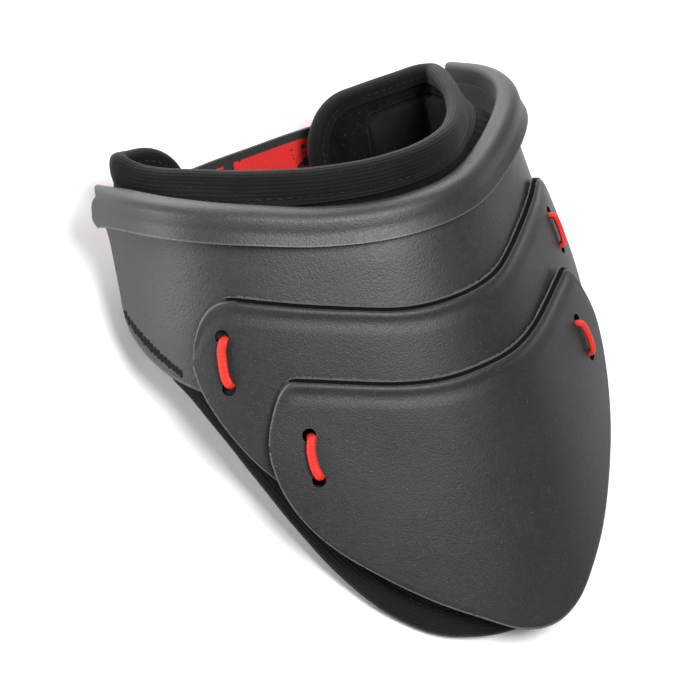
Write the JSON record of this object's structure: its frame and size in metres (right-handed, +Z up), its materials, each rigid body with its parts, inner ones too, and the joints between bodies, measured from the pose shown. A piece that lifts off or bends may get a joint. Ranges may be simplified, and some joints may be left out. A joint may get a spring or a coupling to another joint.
{
  "type": "fencing gorget",
  "caption": "Moulded collar-shaped throat protector, open at the back, with overlapping laced front plates, a padded bib liner with folded-in ends, and an elastic rear strap.",
  "frame": {"origin": "centre of the footprint on the surface it rests on", "axes": "+Z up from the surface, -Y to the throat point at the wearer's front, +X to the wearer's left"},
  "size_m": [0.181, 0.2144, 0.0883],
  "materials": {
    "collar_shell": "charcoal grey, fine leather grain, satin",
    "upper_lame": "charcoal grey, fine leather grain, satin",
    "lower_lame": "charcoal grey, fine leather grain, satin",
    "liner": "black padded woven fabric, matt",
    "liner_binding": "black ribbed binding tape, matt",
    "rear_strap": "red elastic webbing with black edges and black pattern",
    "lace_upper_right": "red braided cord",
    "lace_upper_left": "red braided cord",
    "lace_lower_right": "red braided cord",
    "lace_lower_left": "red braided cord"
  },
  "bodies": {
    "root": {"collar_shell": "collar_shell", "upper_lame": "upper_lame", "lower_lame": "lower_lame", "liner": "liner", "liner_binding": "liner_binding", "rear_strap": "rear_strap", "lace_upper_right": "lace_upper_right", "lace_upper_left": "lace_upper_left", "lace_lower_right": "lace_lower_right", "lace_lower_left": "lace_lower_left"}
  },
  "joints": []
}
